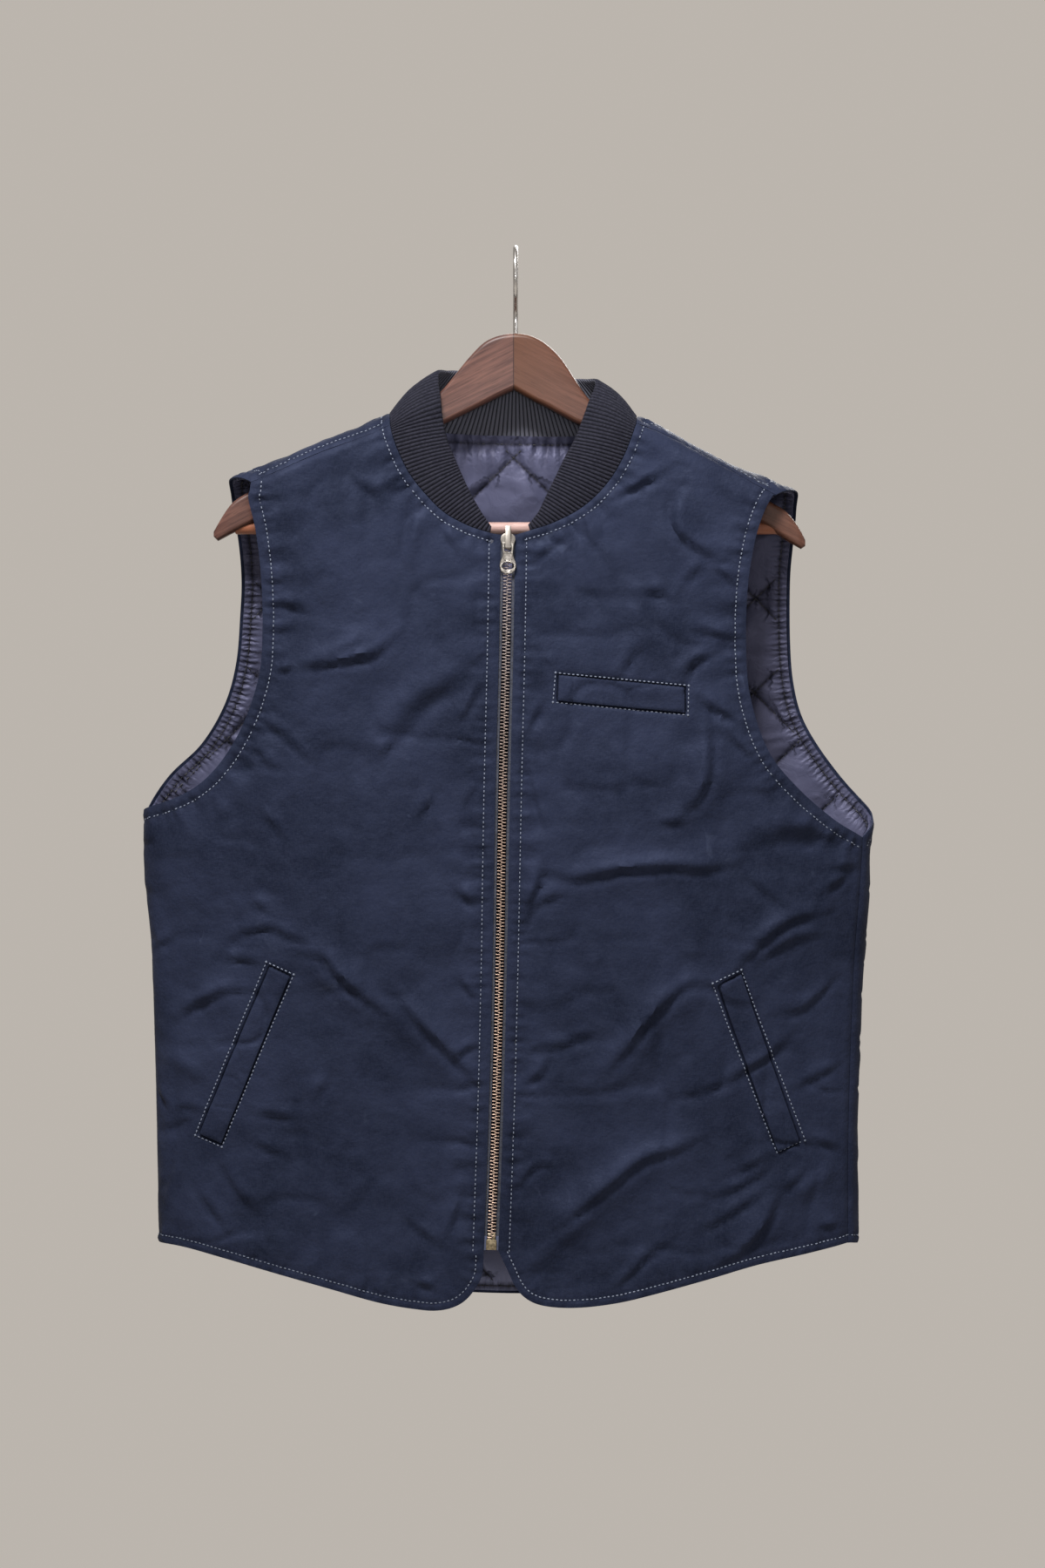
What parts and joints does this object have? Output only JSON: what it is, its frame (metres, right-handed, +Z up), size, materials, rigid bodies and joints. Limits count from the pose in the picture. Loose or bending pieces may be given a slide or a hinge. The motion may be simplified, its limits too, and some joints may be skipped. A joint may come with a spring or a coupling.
{
  "type": "waxed cotton vest on a hanger",
  "caption": "Lined, zip-front waxed cotton vest with a ribbed collar, padded diamond-quilted lining and welt pockets, on a wooden hanger with a trouser bar and wire hook.",
  "frame": {"origin": "inside top of the hanger's hook, where it sits on a rail", "axes": "+X towards the wearer's left along the shoulders, +Y from the vest's front to its back, +Z up"},
  "size_m": [0.555, 0.0856, 0.8043],
  "materials": {
    "waxed_cotton": "satin",
    "lining_nylon": "satin",
    "rib_knit": "matte",
    "zip_tape": "matte",
    "zip_brass": "polished",
    "nickel": "polished",
    "old_brass": "satin",
    "walnut": "satin",
    "hook_steel": "polished"
  },
  "bodies": {
    "vest": {"front_right_shell": "waxed_cotton", "front_left_shell": "waxed_cotton", "back_shell": "waxed_cotton", "chest_welt": "waxed_cotton", "right_pocket_welt": "waxed_cotton", "left_pocket_welt": "waxed_cotton", "front_right_lining": "lining_nylon", "front_left_lining": "lining_nylon", "back_lining": "lining_nylon", "rib_collar": "rib_knit", "zip_tape_right": "zip_tape", "zip_tape_left": "zip_tape", "zip_chain": "zip_brass", "zip_slider": "nickel", "zip_box": "old_brass", "hanger_wood": "walnut", "hanger_bar": "walnut", "hanger_hook": "hook_steel"},
    "pull": {"zip_pull": "nickel"}
  },
  "joints": [
    {"name": "pull_swing", "type": "hinge", "parent": "vest", "child": "pull", "pos_m": [-0.00571, -0.03539, -0.22551], "axis": [-1, 0, 0], "range_deg": [0, 140]}
  ]
}
